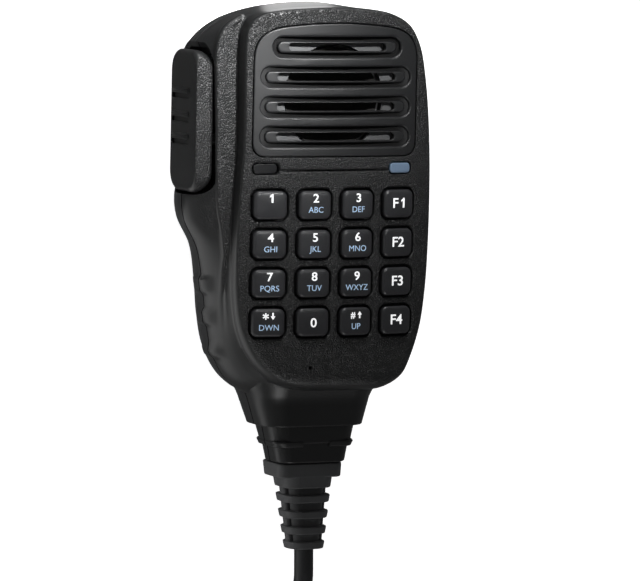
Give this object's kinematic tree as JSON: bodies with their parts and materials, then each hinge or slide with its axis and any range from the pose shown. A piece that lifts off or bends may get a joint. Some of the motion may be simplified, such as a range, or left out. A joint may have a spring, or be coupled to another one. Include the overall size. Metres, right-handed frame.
{
  "type": "hand microphone",
  "caption": "Hand microphone for a mobile radio: slotted speaker grille, rubber keypad, indicator, side push-to-talk key, hang-up button, strain relief and curly cord with modular plug.",
  "frame": {"origin": "under the middle of the microphone without its free cord, on the plane of the hang-up button's face", "axes": "+Z out of the front face with the keypad, +Y along the microphone towards its speaker end, +X to the side away from the push-to-talk key; the cord leaves towards -Y"},
  "size_m": [0.0702, 0.3214, 0.0369],
  "materials": {
    "grained_plastic": "fine leather grain, matte",
    "satin_plastic": "smooth satin",
    "keycap": "smooth satin with printed legends",
    "rubber": "matte",
    "foam": "soft open foam sheet",
    "lens": "milky grey-blue light pipe",
    "steel": "plated",
    "brass": "gold plated",
    "board": "solder mask",
    "white_plastic": "moulded",
    "paper": "pressed paper",
    "clear_plastic": "clear moulded"
  },
  "bodies": {
    "case": {"front_shell": "grained_plastic", "rear_shell": "satin_plastic", "grille_panel": "satin_plastic", "speaker_gasket": "foam", "speaker_basket": "steel", "speaker_cone": "paper", "speaker_magnet": "steel", "indicator_lens": "lens", "indicator_led": "white_plastic", "blank_window": "satin_plastic", "circuit_board": "board", "keypad_web": "rubber", "ptt_pivot_pin": "steel", "ptt_switch": "satin_plastic", "ptt_switch_board": "board", "mic_capsule": "steel", "mic_grommet": "rubber", "case_screw_1": "steel", "case_screw_2": "steel", "case_screw_3": "steel", "case_screw_4": "steel", "board_screw_1": "steel", "board_screw_2": "steel", "hanger_button": "satin_plastic", "hanger_screw": "steel", "cord_boot": "rubber", "cord_clamp": "satin_plastic", "cord_header": "white_plastic", "cord_inner": "rubber", "cord_tail": "rubber", "curly_cord": "rubber", "cord_tie": "rubber", "plug_tail": "rubber", "plug_boot": "rubber", "plug_body": "clear_plastic", "plug_contacts": "brass"},
    "key_1": {"key_1": "keycap"},
    "key_2": {"key_2": "keycap"},
    "key_3": {"key_3": "keycap"},
    "key_f1": {"key_f1": "keycap"},
    "key_4": {"key_4": "keycap"},
    "key_5": {"key_5": "keycap"},
    "key_6": {"key_6": "keycap"},
    "key_f2": {"key_f2": "keycap"},
    "key_7": {"key_7": "keycap"},
    "key_8": {"key_8": "keycap"},
    "key_9": {"key_9": "keycap"},
    "key_f3": {"key_f3": "keycap"},
    "key_star": {"key_star": "keycap"},
    "key_0": {"key_0": "keycap"},
    "key_hash": {"key_hash": "keycap"},
    "key_f4": {"key_f4": "keycap"},
    "ptt_key": {"ptt_key": "grained_plastic"},
    "ptt_plunger": {"ptt_plunger": "white_plastic"},
    "plug_latch": {"plug_latch": "clear_plastic"}
  },
  "joints": [
    {"name": "key_1_press", "type": "slide", "parent": "case", "child": "key_1", "axis": [0, 0, -1], "range_m": [0, 0.0009], "stiffness_N_per_m": 600},
    {"name": "key_2_press", "type": "slide", "parent": "case", "child": "key_2", "axis": [0, 0, -1], "range_m": [0, 0.0009], "stiffness_N_per_m": 600},
    {"name": "key_3_press", "type": "slide", "parent": "case", "child": "key_3", "axis": [0, 0, -1], "range_m": [0, 0.0009], "stiffness_N_per_m": 600},
    {"name": "key_f1_press", "type": "slide", "parent": "case", "child": "key_f1", "axis": [0, 0, -1], "range_m": [0, 0.0009], "stiffness_N_per_m": 600},
    {"name": "key_4_press", "type": "slide", "parent": "case", "child": "key_4", "axis": [0, 0, -1], "range_m": [0, 0.0009], "stiffness_N_per_m": 600},
    {"name": "key_5_press", "type": "slide", "parent": "case", "child": "key_5", "axis": [0, 0, -1], "range_m": [0, 0.0009], "stiffness_N_per_m": 600},
    {"name": "key_6_press", "type": "slide", "parent": "case", "child": "key_6", "axis": [0, 0, -1], "range_m": [0, 0.0009], "stiffness_N_per_m": 600},
    {"name": "key_f2_press", "type": "slide", "parent": "case", "child": "key_f2", "axis": [0, 0, -1], "range_m": [0, 0.0009], "stiffness_N_per_m": 600},
    {"name": "key_7_press", "type": "slide", "parent": "case", "child": "key_7", "axis": [0, 0, -1], "range_m": [0, 0.0009], "stiffness_N_per_m": 600},
    {"name": "key_8_press", "type": "slide", "parent": "case", "child": "key_8", "axis": [0, 0, -1], "range_m": [0, 0.0009], "stiffness_N_per_m": 600},
    {"name": "key_9_press", "type": "slide", "parent": "case", "child": "key_9", "axis": [0, 0, -1], "range_m": [0, 0.0009], "stiffness_N_per_m": 600},
    {"name": "key_f3_press", "type": "slide", "parent": "case", "child": "key_f3", "axis": [0, 0, -1], "range_m": [0, 0.0009], "stiffness_N_per_m": 600},
    {"name": "key_star_press", "type": "slide", "parent": "case", "child": "key_star", "axis": [0, 0, -1], "range_m": [0, 0.0009], "stiffness_N_per_m": 600},
    {"name": "key_0_press", "type": "slide", "parent": "case", "child": "key_0", "axis": [0, 0, -1], "range_m": [0, 0.0009], "stiffness_N_per_m": 600},
    {"name": "key_hash_press", "type": "slide", "parent": "case", "child": "key_hash", "axis": [0, 0, -1], "range_m": [0, 0.0009], "stiffness_N_per_m": 600},
    {"name": "key_f4_press", "type": "slide", "parent": "case", "child": "key_f4", "axis": [0, 0, -1], "range_m": [0, 0.0009], "stiffness_N_per_m": 600},
    {"name": "ptt_press", "type": "hinge", "parent": "case", "child": "ptt_key", "pos_m": [-0.02641, 0.0551, 0.02], "axis": [0, 0, 1], "range_deg": [0, 4], "stiffness_Nm_per_rad": 0.72},
    {"name": "ptt_plunger_slide", "type": "slide", "parent": "case", "child": "ptt_plunger", "axis": [1, 0, 0], "range_m": [0, 0.0014]},
    {"name": "plug_latch_flex", "type": "hinge", "parent": "case", "child": "plug_latch", "pos_m": [0.03119, -0.1715, 0.007], "axis": [-1, 0, 0], "range_deg": [0, 8], "stiffness_Nm_per_rad": 0.05}
  ],
  "couplings": [
    {"joint": "ptt_plunger_slide", "follows": "ptt_press", "m_per_rad": 0.0196}
  ]
}
